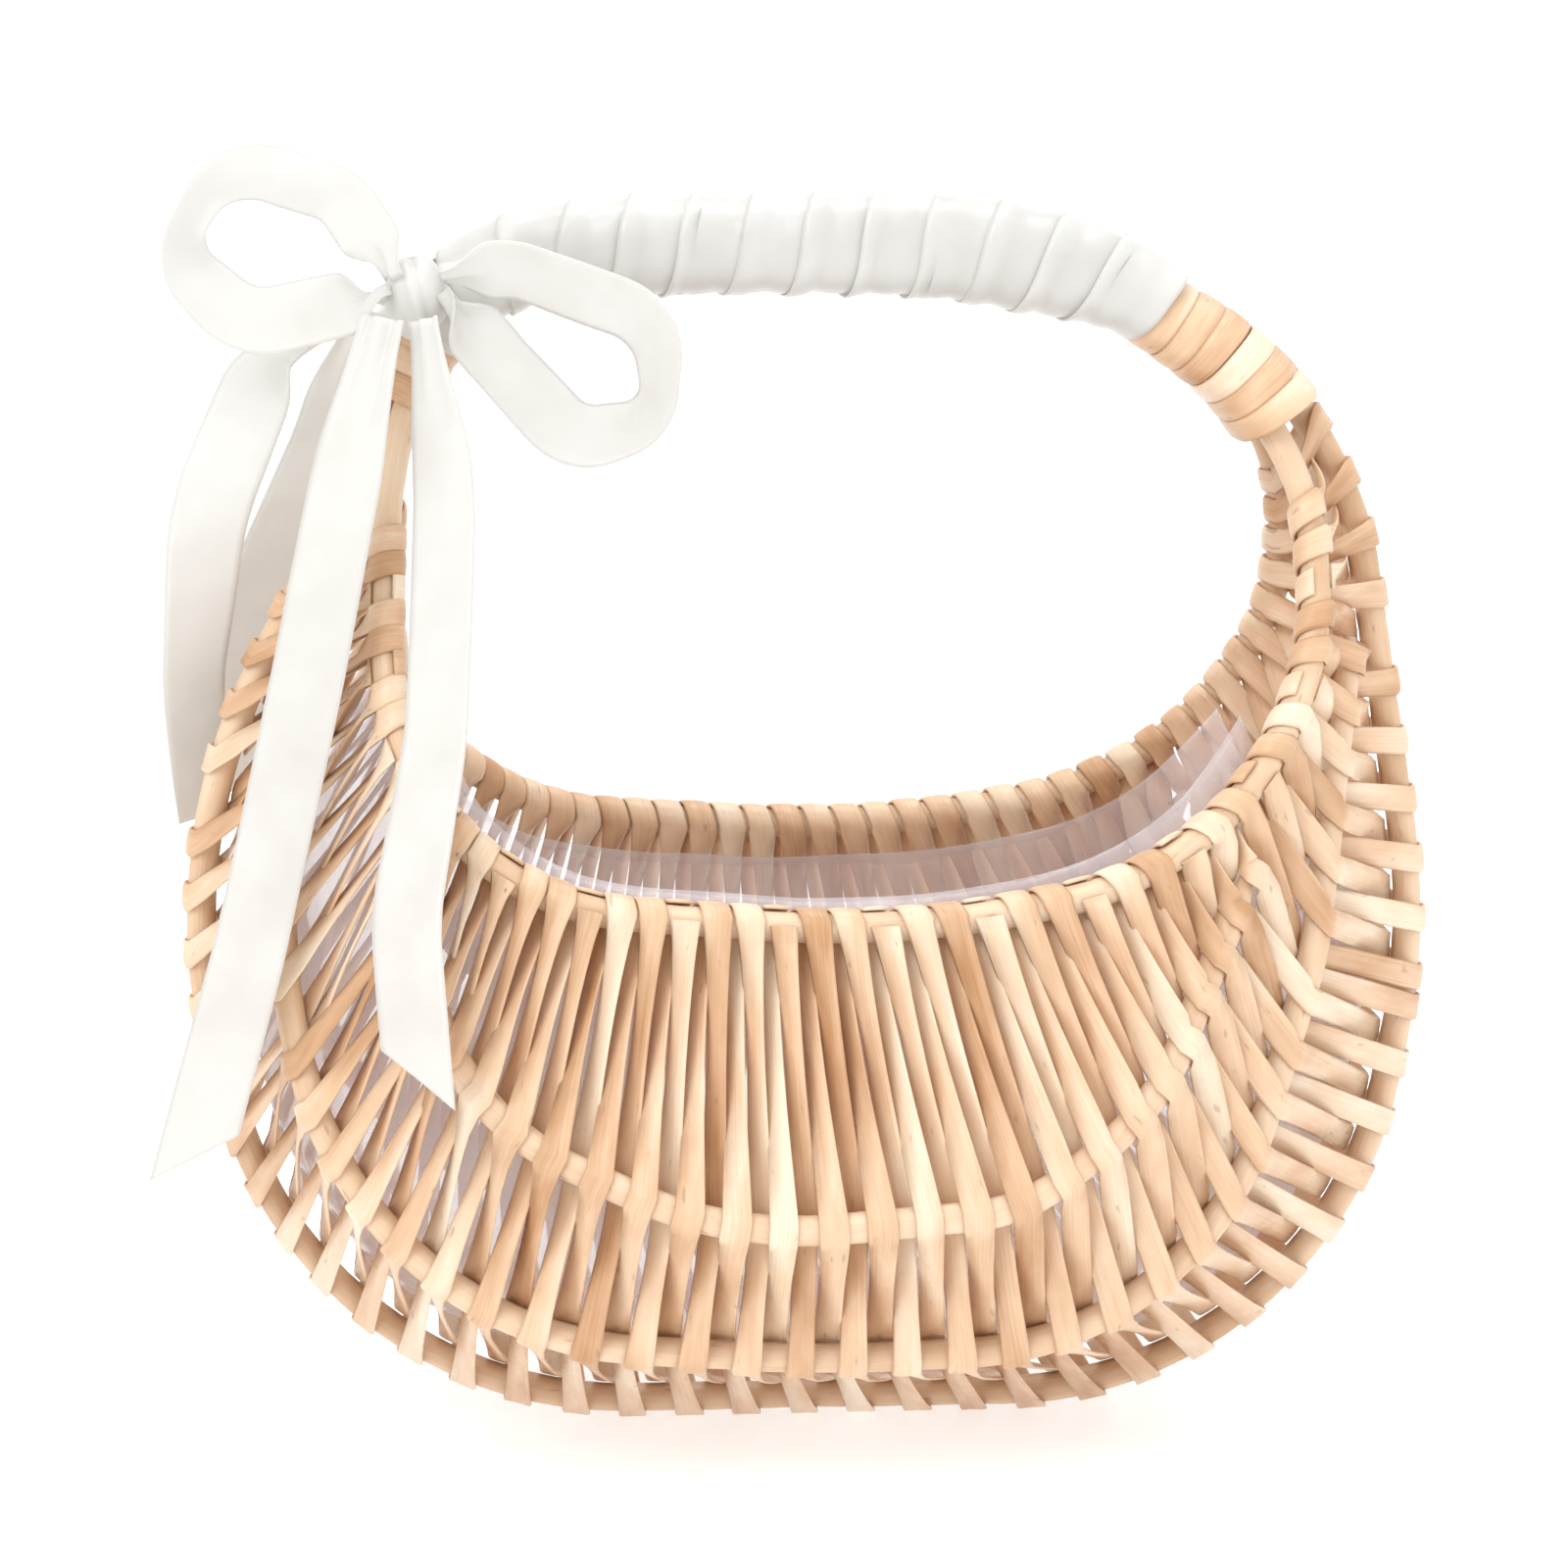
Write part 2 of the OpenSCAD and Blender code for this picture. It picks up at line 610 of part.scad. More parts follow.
keel_hoop();
rim_hoop_front();
rim_hoop_back();
rib_front_upper();
rib_front_lower();
rib_back_upper();
rib_back_lower();
handle_filler();
handle_wrap_left();
handle_wrap_right();
ribbon_wrap();
bow_knot();
bow_loop_left();
bow_loop_right();
tail_front();
tail_right();
tail_left();
tail_back();
liner();
weaver(1, true);  // weaver_left_1
weaver(2, true);  // weaver_left_2
weaver(3, true);  // weaver_left_3
weaver(4, true);  // weaver_left_4
weaver(5, true);  // weaver_left_5
weaver(6, true);  // weaver_left_6
weaver(7, true);  // weaver_left_7
weaver(8, true);  // weaver_left_8
weaver(1, false);  // weaver_right_1
weaver(2, false);  // weaver_right_2
weaver(3, false);  // weaver_right_3
weaver(4, false);  // weaver_right_4
weaver(5, false);  // weaver_right_5
weaver(6, false);  // weaver_right_6
weaver(7, false);  // weaver_right_7
weaver(8, false);  // weaver_right_8
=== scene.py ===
import math

import bmesh
import bpy
import numpy as np
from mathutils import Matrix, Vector


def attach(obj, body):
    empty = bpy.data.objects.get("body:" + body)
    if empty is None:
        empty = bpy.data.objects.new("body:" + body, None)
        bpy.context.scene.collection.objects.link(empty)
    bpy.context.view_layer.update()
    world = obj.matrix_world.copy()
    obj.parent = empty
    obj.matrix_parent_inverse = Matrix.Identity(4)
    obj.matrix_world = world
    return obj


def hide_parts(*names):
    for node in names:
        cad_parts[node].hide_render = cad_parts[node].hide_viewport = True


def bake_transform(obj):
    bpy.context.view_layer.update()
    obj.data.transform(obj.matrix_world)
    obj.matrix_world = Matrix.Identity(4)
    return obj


# Flower girl basket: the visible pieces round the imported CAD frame. Outlines are in millimetres,
# as in the design, and every mesh is made in metres.
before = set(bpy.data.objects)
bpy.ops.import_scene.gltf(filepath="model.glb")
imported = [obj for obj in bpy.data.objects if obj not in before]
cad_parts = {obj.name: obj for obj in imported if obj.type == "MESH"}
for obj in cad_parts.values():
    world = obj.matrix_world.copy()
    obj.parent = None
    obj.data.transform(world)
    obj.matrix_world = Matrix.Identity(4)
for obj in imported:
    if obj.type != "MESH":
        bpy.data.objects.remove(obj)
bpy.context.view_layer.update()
MM = 0.001
rng = np.random.default_rng(7)

# ------------------------------------------------------------------ sizes (mm)
ROD_R = 3.1
SKEIN_W = 5.8
SKEIN_T = 0.8
SKEIN_GAP = 0.15
SKEINS_EACH_SIDE = 8
PASSES_PER_SKEIN = 6
PASSES = 2 * SKEINS_EACH_SIDE * PASSES_PER_SKEIN
BEND_R = ROD_R + SKEIN_GAP + SKEIN_T / 2
RIBBON_W = 15.5
RIBBON_T = 0.35
RIBBON_PITCH = 12
RIBBON_GAP = 0.4
WRAP_W = 5.5
WRAP_PITCH = 6
WRAP_LIFT = 0.5
BAND_W = 13
PADDING = 1.5
PADDING_RUN = 38
EAR_Z = 205
RIM_LEAN = 0.59
RIM_ROD_Y = 3.3
KEEL_Z = ROD_R + SKEIN_GAP + SKEIN_T


# ------------------------------------------------------------------ paths
def unit(v):
    return v / np.linalg.norm(v)


def square_to(v, t):
    return unit(v - t * (v @ t))


def mix(a, b, f):
    return a + (b - a) * f


def smooth(f):
    f = np.clip(f, 0, 1)
    return f * f * (3 - 2 * f)


class Path:
    """A polyline with rounded corners, each corner [x, y, z, radius], read by distance."""

    STEP = 0.5

    def __init__(self, corners, closed):
        p = [np.array(c[:3], float) for c in corners]
        n = len(p)
        points = []
        for i in range(n):
            if not closed and i in (0, n - 1):
                points.append(p[i])
                continue
            u, v = unit(p[i - 1] - p[i]), unit(p[(i + 1) % n] - p[i])
            half = math.acos(float(np.clip(u @ v, -1, 1))) / 2
            r = corners[i][3]
            centre = p[i] + unit(u + v) * r / math.sin(half)
            e1, e2 = (p[i] + u * r / math.tan(half) - centre) / r, -u
            sweep = math.pi - 2 * half
            for a in np.linspace(0, sweep, max(2, int(r * sweep / self.STEP))):
                points.append(centre + r * (e1 * math.cos(a) + e2 * math.sin(a)))
        if closed:
            points.append(points[0])
        raw = np.array(points)
        s = np.r_[0, np.cumsum(np.linalg.norm(np.diff(raw, axis=0), axis=1))]
        keep = np.r_[True, np.diff(s) > 1e-6]
        raw, s = raw[keep], s[keep]
        self.length = s[-1]
        self.s = np.linspace(0, self.length, int(self.length / self.STEP) + 2)
        self.p = np.array([np.interp(self.s, s, raw[:, k]) for k in range(3)]).T
        self.t = np.gradient(self.p, axis=0)
        if closed:
            self.t[0] = self.t[-1] = self.p[1] - self.p[-2]
        self.t /= np.linalg.norm(self.t, axis=1)[:, None]

    def at(self, s):
        p = np.array([np.interp(s, self.s, self.p[:, k]) for k in range(3)])
        t = unit(np.array([np.interp(s, self.s, self.t[:, k]) for k in range(3)]))
        return p, t


def back(corners):
    return [[x, -y, z, r] for x, y, z, r in corners]


def rim_y(z):
    return -RIM_ROD_Y - RIM_LEAN * max(0, EAR_Z - z)


RIM_OUTLINE = [
    [-69, 238, 34], [32, 238, 105], [101, 219, 54], [101, 163, 60], [78, 124, 66],
    [16, 113, 190], [-67, 119, 52], [-85, 154, 60], [-84, 201, 56],
]
KEEL_OUTLINE = [
    [-72.5, 244.5, 34], [48, 244.5, 100], [109, 212, 72], [127, 101, 135], [109, KEEL_Z, 80],
    [-100, KEEL_Z, 84], [-131, 120, 118], [-95, 186, 78],
]
LOWER_RIB = [
    [-99.9, -17.8, 150.5, 0], [-109, -30, 114, 120], [-90, -56, 34, 73], [0, -58, 28, 300],
    [74, -57, 30, 66], [100, -34, 103, 84], [109.7, -12.8, 164, 0],
]
UPPER_RIB = [
    [-83.2, -43.3, 122, 0], [-70, -67, 80, 50], [-20, -78, 58, 80], [37, -76, 62, 36],
    [64, -67, 80, 55], [85, -44, 122, 0],
]
rim_corners = [[x, rim_y(z), z, r] for x, z, r in RIM_OUTLINE]
RIM_FRONT = Path(rim_corners, True)
RIM_BACK = Path(back(rim_corners), True)
KEEL = Path([[x, 0, z, r] for x, z, r in KEEL_OUTLINE], True)
LOWER_FRONT = Path(LOWER_RIB, False)
LOWER_BACK = Path(back(LOWER_RIB), False)
UPPER_FRONT = Path(UPPER_RIB, False)
UPPER_BACK = Path(back(UPPER_RIB), False)
KEEL_LEFT, KEEL_RIGHT = KEEL.length - 38, 202
RIM_LEFT, RIM_RIGHT = RIM_FRONT.length - 29, 202
# path, distance at the left and right end, share of the width where it is crossed, lean
CROSSED = [
    (RIM_FRONT, RIM_LEFT, RIM_RIGHT, 0, 1, 0.055),
    (UPPER_FRONT, 0, UPPER_FRONT.length, 0.2435, 0.788, 0),
    (LOWER_FRONT, 0, LOWER_FRONT.length, 0.11, 0.918, 0.012),
    (KEEL, KEEL_LEFT, KEEL_RIGHT, 0, 1, 0.0155),
    (LOWER_BACK, 0, LOWER_BACK.length, 0.11, 0.918, 0.012),
    (UPPER_BACK, 0, UPPER_BACK.length, 0.2435, 0.788, 0),
    (RIM_BACK, RIM_LEFT, RIM_RIGHT, 0, 1, 0.055),
]


def is_crossed(k, u):
    return CROSSED[k][3] <= u <= CROSSED[k][4]


def crossing(k, u):
    path, left, right, start, end, lean = CROSSED[k]
    f = (u - start) / (end - start) - lean * math.sin(math.pi * u)
    p, t = path.at(mix(left, right, f))
    return p, (-t if left > right else t)


# ------------------------------------------------------------------ meshes
def make_object(name, points, faces, uv, shade, material):
    """A smooth mesh from points in mm, with a UV in metres and a 'shade' value per point."""
    mesh = bpy.data.meshes.new(name)
    mesh.from_pydata((np.asarray(points) * MM).tolist(), [], faces)
    layer = mesh.uv_layers.new(name="UVMap")
    loops = np.empty(len(mesh.loops), np.int32)
    mesh.loops.foreach_get("vertex_index", loops)
    layer.data.foreach_set("uv", (np.asarray(uv) * MM)[loops].ravel().astype(np.float32))
    attribute = mesh.attributes.new("shade", "FLOAT", "POINT")
    attribute.data.foreach_set("value", np.asarray(shade, np.float32))
    mesh.shade_smooth()
    mesh.materials.append(material)
    obj = bpy.data.objects.new(name, mesh)
    bpy.context.scene.collection.objects.link(obj)
    return obj


def loft(name, rings, uv, shade, material, closed=False):
    """Skins rings of equal size: rings is (n, m, 3), uv is (n, m, 2) and shade is (n,)."""
    n, m = rings.shape[:2]
    faces = []
    for i in range(n if closed else n - 1):
        a, b = m * i, m * ((i + 1) % n)
        for k in range(m):
            q = (k + 1) % m
            faces.append((a + k, a + q, b + q, b + k))
    if not closed:
        faces.append(tuple(range(m))[::-1])
        faces.append(tuple(range(m * (n - 1), m * n)))
    points, uv = rings.reshape(-1, 3), uv.reshape(-1, 2)
    obj = make_object(name, points, faces, uv, np.repeat(shade, m), material)
    fix_normals(obj)
    return obj


def fix_normals(obj):
    bm = bmesh.new()
    bm.from_mesh(obj.data)
    bmesh.ops.recalc_face_normals(bm, faces=bm.faces)
    bm.to_mesh(obj.data)
    bm.free()


def finish_piece(obj, body, slot, *nodes):
    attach(obj, body)
    if nodes:
        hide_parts(*nodes)


# ------------------------------------------------------------------ materials
class Nodes:
    """Short names for building a material's nodes."""

    def __init__(self, name):
        self.material = bpy.data.materials.new(name)
        self.material.use_nodes = True
        self.tree = self.material.node_tree
        self.shader = self.tree.nodes["Principled BSDF"]

    def add(self, kind, inputs=None, **settings):
        node = self.tree.nodes.new("ShaderNode" + kind)
        for key, value in settings.items():
            setattr(node, key, value)
        for key, value in (inputs or {}).items():
            self.put(node, key, value)
        return node

    def put(self, node, key, value):
        if isinstance(value, bpy.types.Node):
            value = value.outputs[0]
        if isinstance(value, bpy.types.NodeSocket):
            self.tree.links.new(value, node.inputs[key])
        else:
            node.inputs[key].default_value = value

    def math(self, operation, a, b=0.0, clamp=False):
        return self.add("Math", {0: a, 1: b}, operation=operation, use_clamp=clamp)

    def noise(self, vector, scale, detail=3.0, rough=0.5, distortion=0.0):
        return self.add("TexNoise", {"Vector": vector, "Scale": scale, "Detail": detail,
                                     "Roughness": rough, "Distortion": distortion})

    def ramp(self, value, stops):
        node = self.add("ValToRGB", {"Fac": value})
        elements = node.color_ramp.elements
        while len(elements) < len(stops):
            elements.new(0.5)
        for element, (position, colour) in zip(elements, stops):
            element.position = position
            element.color = (*colour, 1)
        return node

    def stretch(self, vector, x, y):
        return self.add("Mapping", {"Vector": vector, "Scale": (x, y, 1)})

    def mix_colour(self, factor, a, b):
        node = self.add("Mix", data_type="RGBA")
        self.put(node, 0, factor)
        self.put(node, 6, a)
        self.put(node, 7, (*b, 1))
        return node.outputs[2]


def willow(name, light, middle, dark, rough, grain):
    """Peeled willow: long grain along the strip, warm stains, small knots and a soft polish."""
    n = Nodes(name)
    uv = n.add("UVMap", uv_map="UVMap").outputs[0]
    shade = n.add("Attribute", attribute_name="shade").outputs["Fac"]
    stain = n.noise(n.stretch(uv, 30, 90), 1.0, 3.0, 0.55)
    streak = n.noise(n.stretch(uv, 22, 2400), 1.0, 5.0, 0.65, 0.3)
    fibre = n.noise(n.stretch(uv, 120, 7000), 1.0, 3.0, 0.6)
    tone = n.math("ADD", n.math("MULTIPLY", stain, 0.75), n.math("MULTIPLY", streak, 0.3))
    tone = n.math("ADD", tone, n.math("MULTIPLY", n.math("SUBTRACT", shade, 0.5), 0.42))
    colour = n.ramp(tone, [(0.30, light), (0.52, middle), (0.80, dark)])
    fleck = n.noise(n.stretch(uv, 170, 520), 1.0, 1.0)
    speck = n.ramp(fleck, [(0.70, (0, 0, 0)), (0.77, (1, 1, 1))])
    spotted = n.mix_colour(n.math("MULTIPLY", speck, 0.35), colour.outputs[0], (0.26, 0.12, 0.05))
    line = n.ramp(streak, [(0.60, (0, 0, 0)), (0.72, (1, 1, 1))])
    lined = n.mix_colour(n.math("MULTIPLY", line, 0.22), spotted, dark)
    n.put(n.shader, "Base Color", lined)
    polish = n.ramp(stain, [(0.3, (rough - 0.07,) * 3), (0.7, (rough + 0.12,) * 3)])
    n.put(n.shader, "Roughness", polish)
    n.shader.inputs["Specular IOR Level"].default_value = 0.5
    n.shader.inputs["Subsurface Weight"].default_value = 0.08
    n.shader.inputs["Subsurface Scale"].default_value = 0.002
    n.shader.inputs["Subsurface Radius"].default_value = (1.0, 0.5, 0.25)
    height = n.math("ADD", n.math("MULTIPLY", streak, 0.7), n.math("MULTIPLY", fibre, 0.3))
    bump = n.add("Bump", {"Height": height, "Strength": grain, "Distance": 0.0003})
    n.put(n.shader, "Normal", bump)
    return n.material


def satin(name):
    """Ivory satin: fine floats across the ribbon, a silky sheen, tiny woven edges and a faint painted
    glow that lifts its shade.
    """
    n = Nodes(name)
    uv = n.add("UVMap", uv_map="UVMap").outputs[0]
    shade = n.add("Attribute", attribute_name="shade").outputs["Fac"]
    threads = n.noise(n.stretch(uv, 5200, 260), 1.0, 2.0, 0.5)
    soft = n.noise(n.stretch(uv, 60, 60), 1.0, 2.0, 0.5)
    colour = n.ramp(soft, [(0.3, (0.60, 0.595, 0.57)), (0.7, (0.54, 0.53, 0.50))])
    across = n.add("SeparateXYZ", {"Vector": uv}).outputs["Y"]
    edge_at = n.math("ABSOLUTE", n.math("SUBTRACT", across, RIBBON_W / 2 * MM))
    edge = n.math("GREATER_THAN", edge_at, (RIBBON_W / 2 - 0.55) * MM)
    along = n.add("SeparateXYZ", {"Vector": uv}).outputs["X"]
    picot = n.math("SINE", n.math("MULTIPLY", along, 2 * math.pi / (0.9 * MM)))
    stitch = n.math("MULTIPLY", edge, n.math("MULTIPLY_ADD", picot, 0.5), clamp=True)
    worn = n.mix_colour(n.math("MULTIPLY", edge, 0.28), colour.outputs[0], (0.46, 0.44, 0.395))
    shaded = n.mix_colour(n.math("MULTIPLY", shade, 0.35), worn, (0.45, 0.43, 0.385))
    n.put(n.shader, "Base Color", shaded)
    # Painted light: the satin glows faintly in its own colour to lift its shaded parts
    n.put(n.shader, "Emission Color", shaded)
    n.shader.inputs["Emission Strength"].default_value = 0.16
    gloss = n.ramp(threads, [(0.3, (0.30,) * 3), (0.7, (0.42,) * 3)])
    n.put(n.shader, "Roughness", gloss)
    n.shader.inputs["Sheen Weight"].default_value = 0.35
    n.shader.inputs["Sheen Roughness"].default_value = 0.4
    n.shader.inputs["Subsurface Weight"].default_value = 0.35
    n.shader.inputs["Subsurface Scale"].default_value = 0.003
    n.shader.inputs["Subsurface Radius"].default_value = (1.0, 0.97, 0.92)
    height = n.math("ADD", n.math("MULTIPLY", threads, 0.25), n.math("MULTIPLY", stitch, 0.8))
    bump = n.add("Bump", {"Height": height, "Strength": 0.35, "Distance": 0.00012})
    n.put(n.shader, "Normal", bump)
    return n.material


def film(name):
    """Clear wrapping film: a faint lilac tint, bright where it turns away, finely crinkled."""
    n = Nodes(name)
    uv = n.add("UVMap", uv_map="UVMap").outputs[0]
    wide = n.noise(n.stretch(uv, 45, 45), 1.0, 3.0, 0.55, 0.4)
    fine = n.noise(n.stretch(uv, 160, 160), 1.0, 2.0, 0.5, 0.6)
    facing = n.add("LayerWeight", {"Blend": 0.35}).outputs["Facing"]
    alpha = n.math("MULTIPLY_ADD", facing, 0.45)
    alpha.inputs[2].default_value = 0.17
    haze = n.math("MULTIPLY", n.math("SUBTRACT", wide, 0.5), 0.25)
    n.put(n.shader, "Alpha", n.math("ADD", alpha, haze, clamp=True))
    tint = n.ramp(wide, [(0.3, (0.93, 0.87, 0.95)), (0.7, (0.98, 0.95, 0.98))])
    n.put(n.shader, "Base Color", tint)
    n.shader.inputs["Roughness"].default_value = 0.08
    n.shader.inputs["Specular IOR Level"].default_value = 1.0
    height = n.math("ADD", wide, n.math("MULTIPLY", fine, 0.35))
    bump = n.add("Bump", {"Height": height, "Strength": 0.5, "Distance": 0.0015})
    n.put(n.shader, "Normal", bump)
    return n.material


SKEIN = willow("willow_skein", (0.86, 0.71, 0.54), (0.76, 0.52, 0.335), (0.50, 0.26, 0.115), 0.30, 0.35)
ROD = willow("willow_rod", (0.84, 0.68, 0.50), (0.75, 0.53, 0.35), (0.54, 0.32, 0.17), 0.38, 0.45)
SATIN = satin("satin_ribbon")
FILM = film("clear_film")


# ------------------------------------------------------------------ rods
ROD_STEP = 3.0
ROD_SIDES = 16
# Millimetres over which a rib thins towards its ends
RIB_TAPER = 10


def tube(name, path, closed):
    count = int(path.length / ROD_STEP)
    stations = np.linspace(0, path.length, count + (0 if closed else 1), endpoint=not closed)
    bumps = rng.normal(0, 0.035, (count + 2, 3))[:, 0]
    a = np.arange(ROD_SIDES) * 2 * math.pi / ROD_SIDES
    rings, uvs, shades = [], [], []
    tone = rng.uniform(0.3, 0.7)
    for i, s in enumerate(stations):
        p, t = path.at(s)
        side = square_to(np.array([0, 1.0, 0]) if abs(t[1]) < 0.9 else np.array([1.0, 0, 0]), t)
        up = np.cross(t, side)
        wave = 0.06 * math.sin(s / 17) + 0.04 * math.sin(s / 6.3 + 1)
        r = ROD_R - 0.12 + wave + bumps[i]
        if not closed:
            r *= 0.45 + 0.55 * smooth(min(s, path.length - s) / RIB_TAPER)
        rings.append(p + r * (np.cos(a)[:, None] * side + np.sin(a)[:, None] * up))
        uvs.append(np.c_[np.full(ROD_SIDES, s), a * ROD_R])
        shades.append(tone + 0.15 * math.sin(s / 31))
    return loft(name, np.array(rings), np.array(uvs), np.array(shades), ROD, closed)


for name, path, closed in (
    ("keel_hoop", KEEL, True),
    ("rim_hoop_front", RIM_FRONT, True),
    ("rim_hoop_back", RIM_BACK, True),
    ("rib_front_upper", UPPER_FRONT, False),
    ("rib_front_lower", LOWER_FRONT, False),
    ("rib_back_upper", UPPER_BACK, False),
    ("rib_back_lower", LOWER_BACK, False),
):
    rod = tube("peeled_" + name, path, closed)
    finish_piece(rod, "basket", "willow_rod", name)


# ------------------------------------------------------------------ strips
# The outline of a split skein's section: flat inside, crowned outside, with soft edges
SECTION = np.array([
    (-0.50, -0.05), (-0.46, -0.5), (0.0, -0.42), (0.46, -0.5), (0.50, -0.05),
    (0.40, 0.34), (0.14, 0.5), (-0.14, 0.5), (-0.40, 0.34),
])


def strip_object(name, centres, across, outward, widths, shades):
    rings = np.array([
        c + SECTION[:, :1] * w * width + SECTION[:, 1:] * h * SKEIN_T
        for c, w, h, width in zip(centres, across, outward, widths)
    ])
    run = np.r_[0, np.cumsum(np.linalg.norm(np.diff(np.array(centres), axis=0), axis=1))]
    run += rng.uniform(0, 5000)
    v = SECTION[:, 0] * SKEIN_W + rng.uniform(0, 3000)
    uv = np.stack(np.broadcast_arrays(run[:, None], v[None, :]), axis=2)
    return loft(name, rings, uv, np.array(shades), SKEIN)


def lean_angle(gap):
    return math.asin(min(0.9, 2 * BEND_R / gap))


ARC_STEPS = 4
GAP_STEPS = 7
# How nearly a skein fills the room between its neighbours where it turns on edge
TILT_FIT = 0.9
# A skein's last bend over a rim stops after this share of the way to the next pass
LAST_BEND = 0.62


def pitch_at(k, j):
    """The room along rod k for pass j."""
    return np.linalg.norm(crossing(k, (j + 1) / PASSES)[0] - crossing(k, j / PASSES)[0])


def pass_points(j):
    """Rings of one pass from the front rim to the back rim: centre, across and width."""
    u = (j + 0.5) / PASSES
    rods = [k for k in range(len(CROSSED)) if is_crossed(k, u)]
    c = [crossing(k, u) for k in rods]
    first = 1 if j % 2 == 0 else -1
    jitter = rng.uniform(-1, 1, (len(rods), 3))
    width = SKEIN_W * rng.uniform(0.93, 1.04)
    groups = []
    for i, (p, t) in enumerate(c):
        side = first if i % 2 == 0 else -first
        arms = []
        for other, sign in ((i - 1, -1), (i + 1, 1)):
            if 0 <= other < len(c):
                gap = c[other][0] - p
                d = square_to(gap, t)
                lean = lean_angle(np.linalg.norm(gap))
                out = np.cross(d, t) * (side if sign > 0 else -side)
                arms.append(out * math.cos(lean) + d * math.sin(lean))
        t_shift = jitter[i, 0] * 0.25
        if len(arms) == 1:
            outward = arms[0]
            groups.append([(p + arms[0] * BEND_R, t, outward * side)])
            continue
        swing = math.acos(float(np.clip(arms[0] @ arms[1], -1, 1)))
        ahead = square_to(c[i + 1][0] - c[i - 1][0], t)
        wraps = (arms[1] - arms[0]) @ ahead > 0
        rings = []
        for f in np.linspace(0, 1, ARC_STEPS + 1) if wraps and swing > 0.05 else [0.5]:
            arm = unit(mix(arms[0], arms[1], f))
            rings.append((p + arm * BEND_R + t * t_shift, t, arm * side))
        groups.append(rings)
    out = []
    for i, rings in enumerate(groups):
        out += [(p, w, width) for p, w, _ in rings]
        if i == len(groups) - 1:
            break
        a, b = rings[-1], groups[i + 1][0]
        ahead = unit(b[0] - a[0])
        pitches = pitch_at(rods[i], j), pitch_at(rods[i + 1], j)
        sag = jitter[i, 2] * 0.25
        for f in np.linspace(0, 1, GAP_STEPS + 2)[1:-1]:
            w = square_to(mix(a[1], b[1], f), ahead)
            h = square_to(unit(mix(a[2], b[2], f)), ahead)
            h = square_to(h, w)
            tilt = math.acos(min(1, TILT_FIT * mix(*pitches, f) / width)) * (1 + 0.06 * jitter[i, 1])
            turn = tilt * math.sin(math.pi * f) ** 0.4
            p = mix(a[0], b[0], f) + h * sag * math.sin(math.pi * f)
            out.append((p, w * math.cos(turn) + h * math.sin(turn), width))
    return out


def over_rim_points(j, width, share):
    """Rings over a rim from pass j, a share of the way round to the next one."""
    from_front = j % 2 == 0
    k = len(CROSSED) - 1 if from_front else 0
    order = (5, 4, 3) if from_front else (1, 2, 3)
    out = []
    lift = BEND_R * rng.uniform(1.0, 1.07)
    spread = max(width, 1.02 * pitch_at(k, j))
    for f in np.linspace(0, share, 11):
        u = (j + 0.5 + f) / PASSES
        p, t = crossing(k, u)
        near = next(m for m in order if is_crossed(m, u))
        d = square_to(crossing(near, u)[0] - p, t)
        outside = np.cross(t, d) if from_front else np.cross(d, t)
        start = outside if from_front else -outside
        a = math.radians(mix(8, 172, f))
        arm = start * math.cos(a) - d * math.sin(a)
        out.append((p + arm * lift, t, mix(width, spread, math.sin(math.pi * f))))
    return out


# Changes of tone along one skein
TONES = 24


def weave(number, from_left):
    """One skein and its passes. Its outward side is worked out from its path."""
    place = number - 1 if from_left else 2 * SKEINS_EACH_SIDE - number
    first = place * PASSES_PER_SKEIN
    rings = []
    for j in range(first, first + PASSES_PER_SKEIN):
        run = pass_points(j)
        if j % 2:
            run = run[::-1]
        rings += run
        last = j == first + PASSES_PER_SKEIN - 1
        if j < PASSES - 1:
            rings += over_rim_points(j, run[-1][2], LAST_BEND if last else 1)
    centres = [r[0] for r in rings]
    across = [r[1] for r in rings]
    outward = []
    for i in range(len(rings)):
        ahead = centres[min(i + 1, len(rings) - 1)] - centres[max(i - 1, 0)]
        h = np.cross(unit(ahead), across[i])
        outward.append(unit(h))
    widths = [r[2] for r in rings]
    tones = rng.uniform(0.05, 0.95, TONES)
    shades = np.interp(np.arange(len(rings)), np.linspace(0, len(rings), TONES), tones)
    side = "left" if from_left else "right"
    skein = strip_object(f"skein_{side}_{number}", centres, across, outward, widths, shades)
    finish_piece(skein, "basket", "willow_skein", f"weaver_{side}_{number}")


for number in range(1, SKEINS_EACH_SIDE + 1):
    weave(number, True)
    weave(number, False)


# ------------------------------------------------------------------ handle
def handle_oval(s):
    share = (s - (KEEL_LEFT - KEEL.length)) / (KEEL_RIGHT - KEEL_LEFT + KEEL.length)
    p, t = KEEL.at(s % KEEL.length)
    rim_s = mix(RIM_LEFT - RIM_FRONT.length, RIM_RIGHT, share)
    rim = RIM_FRONT.at(rim_s % RIM_FRONT.length)[0]
    out = np.cross(t, [0, 1, 0])
    reach = (p - rim) @ out
    return p - out * reach / 2, out, reach / 2 + ROD_R + 0.9, -rim[1] + ROD_R + 0.7


def oval_point(oval, a, lift, raised=0.0):
    c, s = math.cos(a), math.sin(a)
    y = np.array([0, 1.0, 0])
    long = np.sign(c) * abs(c) ** 0.8
    wide = np.sign(s) * abs(s) ** 0.8
    return oval[0] + oval[1] * (raised + (oval[2] + lift) * long) + y * (oval[3] + lift) * wide


WOUND_LEFT, WOUND_RIGHT = -13, 200
RIBBON_START, RIBBON_END = 18, 165
KNOT_AT = 10
# How far a strip runs on under the ribbon
TUCKED = 6
FILLER_LEAD = 14
TURN_STEPS = 28


